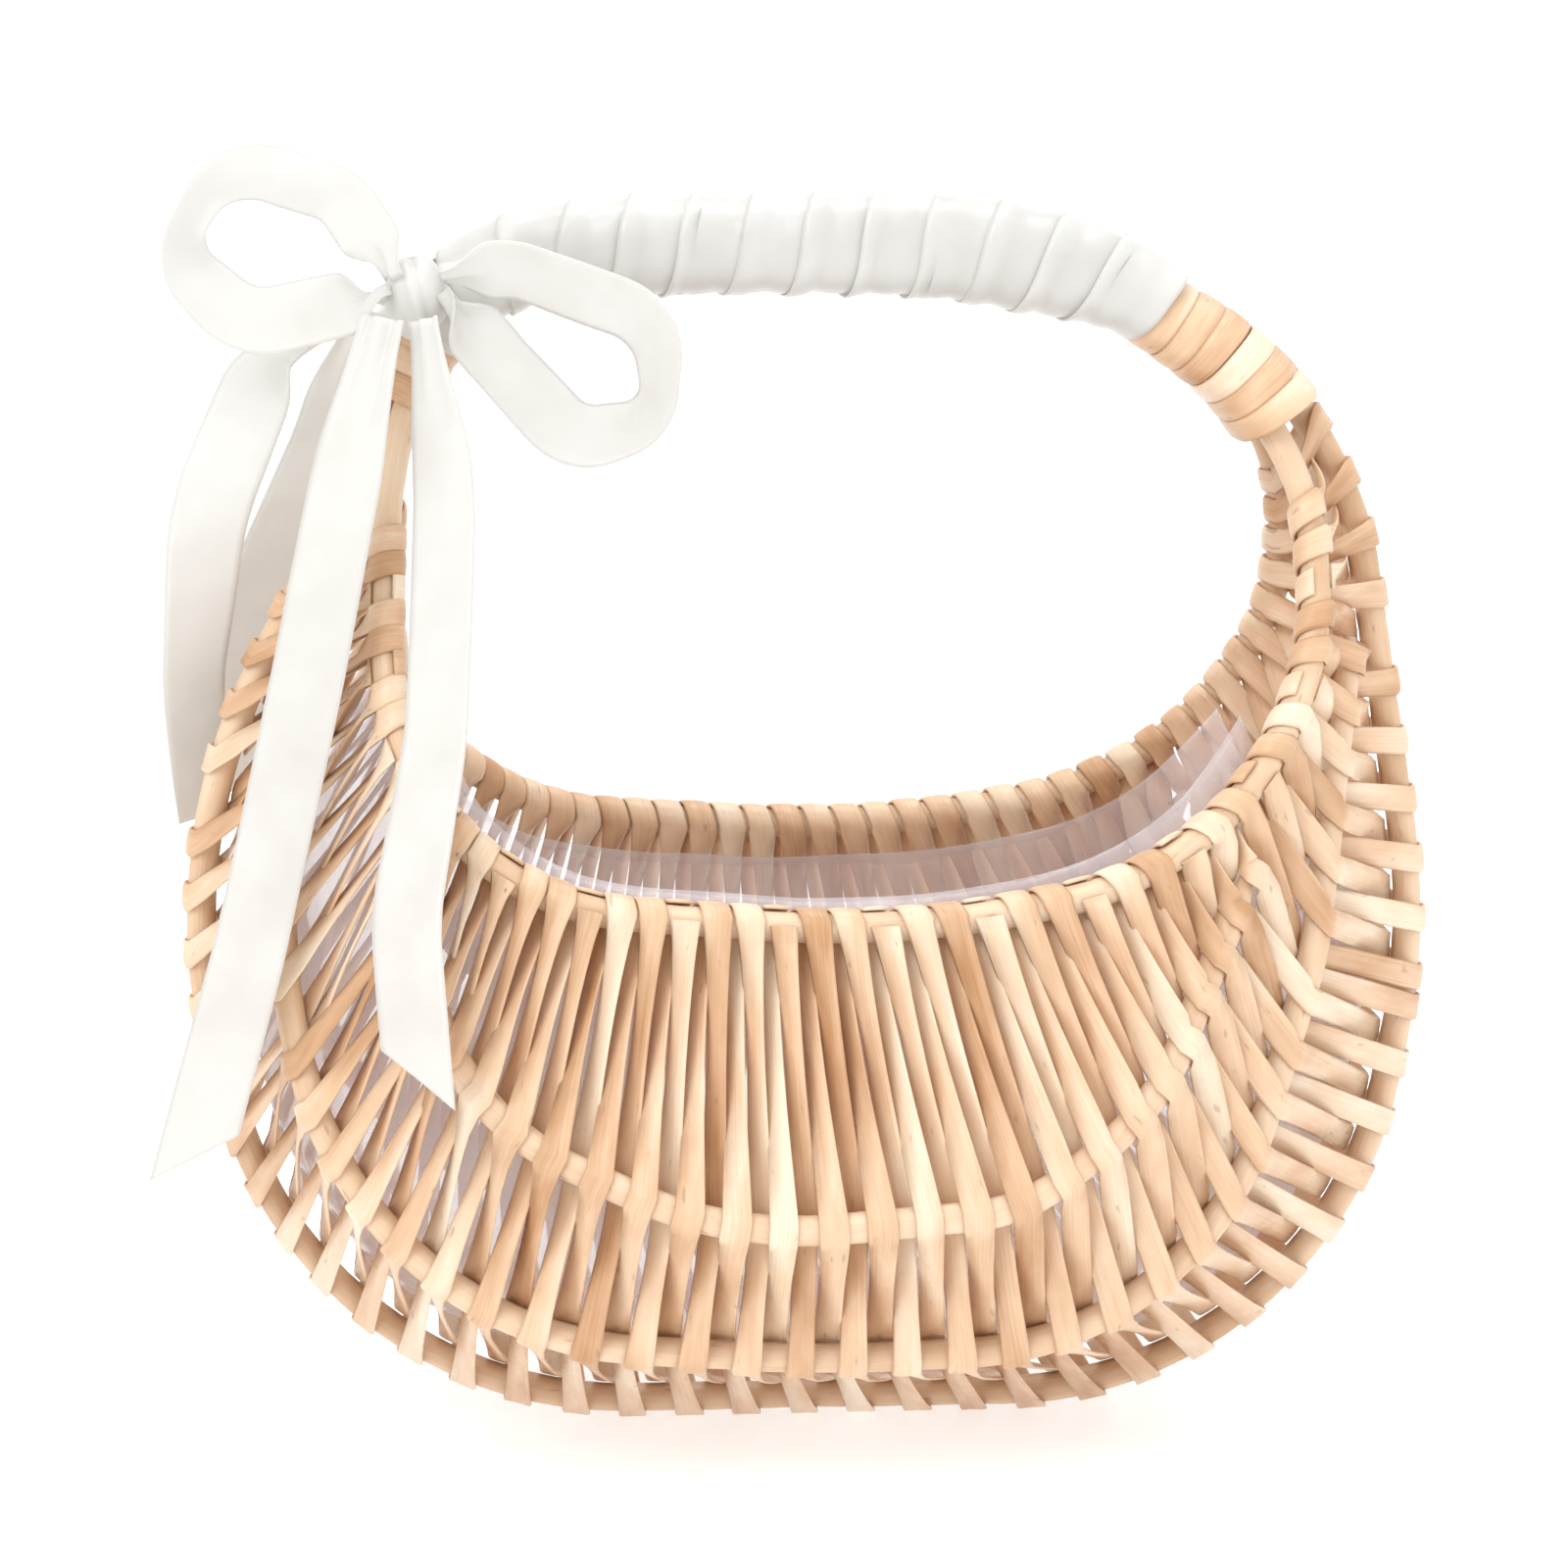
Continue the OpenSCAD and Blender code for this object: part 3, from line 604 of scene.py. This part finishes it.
def wound_skein(name, node, s0, s1):
    w = WRAP_W
    turns = round((s1 - s0 - w) / WRAP_PITCH)
    centres, across, outward, widths, shades = [], [], [], [], []
    wobble = rng.normal(0, 0.35, turns + 2)
    for i in range(turns * TURN_STEPS + 1):
        turn = i / TURN_STEPS
        s = mix(s0 + w / 2, s1 - w / 2, turn / turns)
        s += np.interp(turn, range(turns + 2), wobble) * 0.5
        a = turn * 2 * math.pi
        low, high = handle_oval(s - w / 2), handle_oval(s + w / 2)
        risen = smooth((s - RIBBON_END + 3) / 4) if s1 == WOUND_RIGHT else 1
        lift = mix(-0.1, WRAP_LIFT, risen) + SKEIN_T / 2
        p, q = oval_point(low, a, lift), oval_point(high, a, lift)
        centre = (p + q) / 2
        side = unit(q - p)
        centres.append(centre)
        across.append(side)
        outward.append(square_to(centre - handle_oval(s)[0], side))
        widths.append(np.linalg.norm(q - p) * 1.08)
        shades.append(0.5 + 0.35 * math.sin(turn * 2.4 + s0))
    skein = strip_object(name, centres, across, outward, widths, shades)
    finish_piece(skein, "basket", "willow_skein", node)


wound_skein("wound_skein_left", "handle_wrap_left", WOUND_LEFT, KNOT_AT - 2)
wound_skein("wound_skein_right", "handle_wrap_right", RIBBON_END - TUCKED, WOUND_RIGHT)


def padding(s):
    return PADDING * max(0, min(1, (s - RIBBON_START) / PADDING_RUN))


def filler():
    """Split strips under the ribbon, along the top of the grip."""
    points, faces, uv = [], [], []
    stations = np.arange(RIBBON_START + FILLER_LEAD, RIBBON_END - 2, 4)
    for angle in range(-72, 73, 36):
        a = math.radians(angle)
        base = len(points)
        for s in stations:
            oval = handle_oval(s)
            foot = oval_point(oval, a, 0)
            arm = unit(foot - oval[0])
            side = np.cross(arm, np.cross(oval[1], [0, 1, 0])) * PADDING * 0.8
            low = foot + arm * 0.15
            high = low + arm * padding(s) * (0.7 + 0.9 * math.cos(a))
            for k, point in enumerate((low + side, low - side, high - side * 0.8, high + side * 0.8)):
                points.append(point)
                uv.append((s, k * PADDING + angle))
        count = len(stations)
        for i in range(count - 1):
            for k in range(4):
                q = (k + 1) % 4
                here = base + 4 * i
                faces.append((here + k, here + q, here + 4 + q, here + 4 + k))
        faces.append(tuple(base + k for k in (3, 2, 1, 0)))
        faces.append(tuple(base + 4 * (count - 1) + k for k in range(4)))
    obj = make_object("grip_strips", points, faces, uv, np.full(len(points), 0.5), ROD)
    fix_normals(obj)
    finish_piece(obj, "basket", "willow_rod", "handle_filler")


filler()


def ribbon_grid(name, rows, columns, place, width=RIBBON_W):
    """A thin closed ribbon and its length. place(i, v): row i, and v from -1 to 1 across."""
    grid = np.array([[place(i, v) for v in np.linspace(-1, 1, columns)] for i in range(rows)])
    along = np.gradient(grid, axis=0)
    side = np.gradient(grid, axis=1)
    normal = np.cross(along, side)
    normal /= np.linalg.norm(normal, axis=2)[:, :, None] + 1e-12
    top, bottom = grid + normal * RIBBON_T / 2, grid - normal * RIBBON_T / 2
    rings = np.concatenate([top, bottom[:, ::-1]], axis=1)
    middle = grid[:, columns // 2]
    run = np.r_[0, np.cumsum(np.linalg.norm(np.diff(middle, axis=0), axis=1))]
    v = np.linspace(0, width, columns)
    v = np.r_[v, v[::-1]]
    uv = np.stack(np.broadcast_arrays(run[:, None], v[None, :]), axis=2)
    return loft(name, rings, uv, np.zeros(rows), SATIN), run[-1]


def wound_ribbon():
    s0, s1 = RIBBON_START + RIBBON_GAP - RIBBON_PITCH, RIBBON_END - RIBBON_GAP
    turns = round((s1 - s0 - RIBBON_PITCH) / RIBBON_PITCH)
    steps = 40
    rows = turns * steps + 1
    start, end = s0 + 0.5 * RIBBON_PITCH, s1 - 0.5 * RIBBON_PITCH
    phase = rng.uniform(0, 6, 6)[:2]

    def place(i, v):
        turn = i / steps
        s = mix(start, end, turn / turns)
        offset = (v + 1) / 2 * RIBBON_W
        s_here = s - RIBBON_PITCH / 2 + offset
        a = turn * 2 * math.pi
        overlap = RIBBON_W - RIBBON_PITCH
        over = 1 - smooth((offset - overlap * 0.9) / 1.6)
        puff = 0.22 * math.sin(offset * 0.8 + phase[0] + 1.7 * turn)
        puff += 0.16 * math.sin(a * 3 + phase[1] + turn)
        pad = padding(s_here)
        lift = pad + RIBBON_GAP + RIBBON_T + 0.5 * over * min(1, turn * 4) + puff
        lift += 0.3 * math.exp(-((offset - 0.5) / 0.8) ** 2)
        return oval_point(handle_oval(min(s_here, s1 + 1.5)), a, lift, pad)

    obj, length = ribbon_grid("ribbon_round_grip", rows, 13, place)
    finish_piece(obj, "basket", "satin_ribbon", "ribbon_wrap")


wound_ribbon()

# ------------------------------------------------------------------ bow
KNOT = np.array([-77, -14, 234.0])
KNOT_R = 8
BAND_R = 10
# Millimetres along a tail to a point that bow_tail works out but does not use
BLEND_RUN = 28
LEFT_LOOP = [
    [-82, -17, 238, 0], [-92, -18, 254, 9], [-114, -20, 261, 12], [-125, -21, 243, 10],
    [-111, -20, 229, 12], [-83, -17, 235, 0],
]
RIGHT_LOOP = [
    [-73, -18, 239, 0], [-58, -19, 240, 16], [-30, -22, 230, 12], [-30, -23, 210, 9],
    [-47, -22, 206, 10], [-62, -19, 222, 14], [-73, -18, 235, 0],
]
TAIL_FRONT = [
    [-84, -26.5, 231, 0], [-90, -31, 208, 60], [-99, -37, 165, 150], [-112, -43, 108, 150],
    [-123, -46, 68, 0],
]
TAIL_RIGHT = [
    [-76, -29, 231, 0], [-72.5, -35, 200, 80], [-75, -54, 152, 100], [-81, -69, 120, 60],
    [-79, -81, 91, 0],
]
TAIL_LEFT = [
    [-93, -11, 229, 0], [-108, -8, 219, 20], [-120, -4, 190, 60], [-124, 5, 156, 60],
    [-123, 19, 124, 0],
]
TAIL_BACK = [
    [-87, 11.5, 229, 0], [-95, 14, 205, 60], [-108, 19, 178, 60], [-116, 25, 150, 60],
    [-119, 30, 128, 0],
]


def bow_loop(name, node, corners, middle, phase):
    path = Path(corners, False)
    rows = 90

    def place(i, v):
        f = i / (rows - 1)
        p, t = path.at(path.length * f)
        radial = square_to(np.array([p[0] - middle[0], 0, p[2] - middle[1]]), t)
        turn_back = math.exp(-(((f - 0.5) / 0.14) ** 2))
        lean = square_to(radial * (0.8 - 0.5 * turn_back) + np.array([0, -0.6, 0]), t)
        near_end = min(1, 11 * f, 11 * (1 - f))
        across = square_to(mix(np.array([0, -1, 0.3]), lean, smooth(near_end)), t)
        w = mix(10, RIBBON_W, smooth(near_end)) / 2
        h = np.cross(t, across)
        pleat = (1 - smooth(near_end)) * 1.3 * math.cos(v * 7)
        cup = 0.5 * (v * v - 0.3) * smooth(near_end) + 0.25 * math.sin(v * 3 + f * 9 + phase)
        return p + across * w * v + h * (pleat + cup)

    obj, length = ribbon_grid(name, rows, 15, place)
    finish_piece(obj, "basket", "satin_ribbon", node)


def bow_tail(name, node, corners, first_across, last_across, first_w, slant, phase):
    """A hanging ribbon from the knot to its slanted end."""
    path = Path(corners, False)
    rows = 110

    def place(i, v):
        f = i / (rows - 1)
        p, t = path.at(path.length * f)
        across = square_to(mix(np.array(first_across, float), np.array(last_across, float), f), t)
        h = np.cross(t, across)
        w = mix(first_w, RIBBON_W, smooth(min(1, 5 * f))) / 2
        pleat = (1 - smooth(5 * f)) * 0.9 * math.cos(v * 6 + 1)
        wave = 0.8 * math.sin(f * 7 + phase) * smooth(3 * f) + 0.45 * v * math.sin(f * 11 + phase)
        cup = 0.45 * (v * v - 0.3)
        cut = slant * v * smooth((f - 0.86) / 0.14)
        return p + across * w * v + t * cut + h * (pleat + wave * 0.5 + cup)

    obj, length = ribbon_grid(name, rows, 11, place)
    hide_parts(node)
    low = list(path.at(BLEND_RUN)[0] * MM)
    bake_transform(obj)


def knot():
    """The tied ribbon over the middle of the bow, and its turn round the handle."""
    rows, columns = 40, 64
    points, uv = [], []
    for i in range(rows + 1):
        lat = mix(-math.pi / 2, math.pi / 2, i / rows)
        for k in range(columns):
            a = 2 * math.pi * k / columns
            x, z = math.cos(a) * math.cos(lat), math.sin(lat)
            y = math.sin(a) * math.cos(lat)
            fold = 0.45 * math.sin(9 * x + 2.2 * z + 1) * (1 - abs(z)) + 0.3 * math.sin(5 * z + 3 * x)
            fold -= 1.2 * math.exp(-(((x - 0.2 + 0.35 * z) / 0.16) ** 2)) * (y < 0.3)
            r = KNOT_R - 0.4 + fold * 0.7
            points.append(KNOT + np.array([x * r * 0.84 - 0.8, y * r, z * r * 1.12]))
            uv.append((a * KNOT_R, (lat + math.pi / 2) / math.pi * RIBBON_W))
    faces = [
        (columns * i + k, columns * i + (k + 1) % columns,
         columns * (i + 1) + (k + 1) % columns, columns * (i + 1) + k)
        for i in range(1, rows - 1) for k in range(columns)
    ]
    low = [columns + k for k in range(columns)]
    high = [columns * (rows - 1) + k for k in range(columns)]
    faces += [tuple(low[::-1]), tuple(high)]
    used = sorted({i for f in faces for i in f})
    index = {old: new for new, old in enumerate(used)}
    faces = [tuple(index[i] for i in f) for f in faces]
    obj = make_object("knot_of_bow", [points[i] for i in used], faces,
                      [uv[i] for i in used], np.full(len(used), 0.1), SATIN)
    fix_normals(obj)
    finish_piece(obj, "basket", "satin_ribbon", "bow_knot")

    rows = 80

    def place(i, v):
        a = 2 * math.pi * i / (rows - 1)
        oval = handle_oval(KNOT_AT + v * 6.3)
        grow = 0.25 * math.sin(7 * a + 2 * v) + 0.3 * (v * v)
        y = np.array([0, 1.0, 0])
        r = BAND_R + 0.25 + grow
        return oval[0] + oval[1] * r * math.cos(a) + y * r * math.sin(a)

    band, length = ribbon_grid("ribbon_round_shoulder", rows, 13, place, BAND_W)
    finish_piece(band, "basket", "satin_ribbon")


knot()
bow_loop("left_loop_of_bow", "bow_loop_left", LEFT_LOOP, (-108, 248), 0.4)
bow_loop("right_loop_of_bow", "bow_loop_right", RIGHT_LOOP, (-44, 222), 2.1)
bow_tail("front_tail", "tail_front", TAIL_FRONT, [0.88, -0.45, 0], [0.92, -0.3, 0.25], 10, -7, 0.3)
bow_tail("right_tail", "tail_right", TAIL_RIGHT, [0.68, -0.73, 0], [0.72, -0.6, -0.3], 9, 7, 1.9)
bow_tail("left_tail", "tail_left", TAIL_LEFT, [0.9, -0.6, 0.5], [0.5, 0.85, 0], 10, 3, 4.0)
bow_tail("back_tail", "tail_back", TAIL_BACK, [1, 0.2, 0.1], [0.8, 0.5, 0], 8, 3, 5.2)


# ------------------------------------------------------------------ liner
LINER_FROM, LINER_TO = 0.13, 0.84
FILM_OVER_FRONT, FILM_BELOW_BACK = 7, 5
# From a rod's middle to the film's, clear of the skeins
FILM_OFF = BEND_R + SKEIN_T / 2 + 1.15
FILM_T = 0.15


def film_column(u):
    c = {k: crossing(k, u) for k in range(len(CROSSED)) if is_crossed(k, u)}
    for k, rim, low in ((1, 0, 2), (5, 6, 4)):
        if k not in c:
            c[k] = (mix(c[rim][0], c[low][0], 0.2), c[rim][1])
    row = []
    for k in range(len(CROSSED)):
        t = c[k][1]
        d_in = square_to(c[max(k, 1)][0] - c[max(k, 1) - 1][0], t)
        d_out = square_to(c[min(k, 5) + 1][0] - c[min(k, 5)][0], t)
        row.append(c[k][0] - unit(np.cross(d_in, t) + np.cross(d_out, t)) * FILM_OFF)
    front = row[0] + unit(row[0] - row[1]) * FILM_OVER_FRONT
    rear = row[6] + unit(row[5] - row[6]) * FILM_BELOW_BACK
    return np.array([front, *row[:6], rear])


def liner():
    columns, rows = 90, 72
    us = np.linspace(LINER_FROM, LINER_TO, columns + 1)
    raw = [film_column(u) for u in us]
    grid = np.empty((columns + 1, rows + 1, 3))
    for i, r in enumerate(raw):
        run = np.r_[0, np.cumsum(np.linalg.norm(np.diff(r, axis=0), axis=1))]
        at = np.linspace(0, run[-1], rows + 1)
        for k in range(3):
            grid[i, :, k] = np.interp(at, run, r[:, k])
    for _ in range(6):
        grid[1:-1] = (grid[:-2] + 2 * grid[1:-1] + grid[2:]) / 4
        grid[:, 1:-1] = (grid[:, :-2] + 2 * grid[:, 1:-1] + grid[:, 2:]) / 4
    along = np.gradient(grid, axis=0)
    side = np.gradient(grid, axis=1)
    normal = np.cross(along, side)
    normal /= np.linalg.norm(normal, axis=2)[:, :, None]
    centre = np.array([0, 0, 90.0])
    inward = np.sign(((centre - grid) * normal).sum(2))[:, :, None] * normal
    i, k = np.meshgrid(np.arange(columns + 1), np.arange(rows + 1), indexing="ij")
    crease = 0.55 + 0.3 * np.sin(i * 0.55 + 0.25 * k) + 0.25 * np.sin(k * 0.7 - 0.31 * i + 1)
    crease += 0.9 * np.abs(np.sin(i * 0.16 + 0.4 * np.sin(k * 0.1))) ** 6
    grid = grid + inward * crease[:, :, None]
    top = grid + normal * FILM_T / 2
    bottom = grid - normal * FILM_T / 2
    rings = np.concatenate([top, bottom[:, ::-1]], axis=1)
    v = np.r_[np.arange(rows + 1), np.arange(rows + 1)[::-1]] * 3.5
    u = np.arange(columns + 1) * 2.2
    uv = np.stack(np.broadcast_arrays(u[:, None], v[None, :]), axis=2)
    obj = loft("film_liner", rings, uv, np.zeros(columns + 1), FILM)
    finish_piece(obj, "basket", "clear_film", "liner")
    width = np.linalg.norm(np.diff(grid[:, rows // 2], axis=0), axis=1).sum()


liner()

# ------------------------------------------------------------------ stage, light and camera
VIEW_EL, VIEW_AZ, VIEW_DIST = math.radians(10), math.radians(-4), 1.1
TARGET = Vector((-0.004, 0, 0.133))
FRAME_WIDTH = 0.32
SENSOR = 36
FLOOR_HALF = 40.0
LIGHT_AIM = Vector((0, 0, 0.12))


def plain(name, colour, rough, glow):
    n = Nodes(name)
    speck = n.noise(n.add("TexCoord").outputs["Object"], 9.0, 2.0)
    darker = tuple(c * 0.985 for c in colour)
    n.put(n.shader, "Base Color", n.ramp(speck, [(0.3, colour), (0.7, darker)]))
    n.shader.inputs["Roughness"].default_value = rough
    n.shader.inputs["Emission Color"].default_value = (1, 1, 1, 1)
    n.shader.inputs["Emission Strength"].default_value = glow
    return n.material


def floor():
    mesh = bpy.data.meshes.new("floor")
    corners = [(x * FLOOR_HALF, y * FLOOR_HALF, 0) for x, y in ((-1, -1), (1, -1), (1, 1), (-1, 1))]
    mesh.from_pydata(corners, [], [(0, 1, 2, 3)])
    mesh.materials.append(plain("pale_floor", (0.6, 0.6, 0.6), 0.7, 0.6))
    obj = bpy.data.objects.new("floor", mesh)
    bpy.context.scene.collection.objects.link(obj)


def area_light(name, place, size, power):
    data = bpy.data.lights.new(name, "AREA")
    data.size = size
    data.energy = power
    obj = bpy.data.objects.new(name, data)
    obj.location = place
    obj.rotation_euler = (LIGHT_AIM - Vector(place)).to_track_quat("-Z", "Y").to_euler()
    bpy.context.scene.collection.objects.link(obj)


floor()
area_light("key", (-0.7, -1.1, 1.3), 0.9, 10)
area_light("fill", (1.2, -0.9, 0.7), 1.0, 2)
area_light("top", (0.1, 0.2, 1.5), 0.8, 7)
world = bpy.data.worlds.new("studio")
world.use_nodes = True
world.node_tree.nodes["Background"].inputs["Color"].default_value = (1, 1, 1, 1)
world.node_tree.nodes["Background"].inputs["Strength"].default_value = 1.0
bpy.context.scene.world = world
bpy.context.scene.view_settings.view_transform = "Standard"

camera_data = bpy.data.cameras.new("camera")
camera_data.sensor_width = SENSOR
camera_data.lens = SENSOR * VIEW_DIST / FRAME_WIDTH
camera = bpy.data.objects.new("camera", camera_data)
level = math.cos(VIEW_EL)
direction = Vector((math.sin(VIEW_AZ) * level, -math.cos(VIEW_AZ) * level, math.sin(VIEW_EL)))
camera.location = TARGET + direction * VIEW_DIST
camera.rotation_euler = (-direction).to_track_quat("-Z", "Y").to_euler()
bpy.context.scene.collection.objects.link(camera)
bpy.context.scene.camera = camera
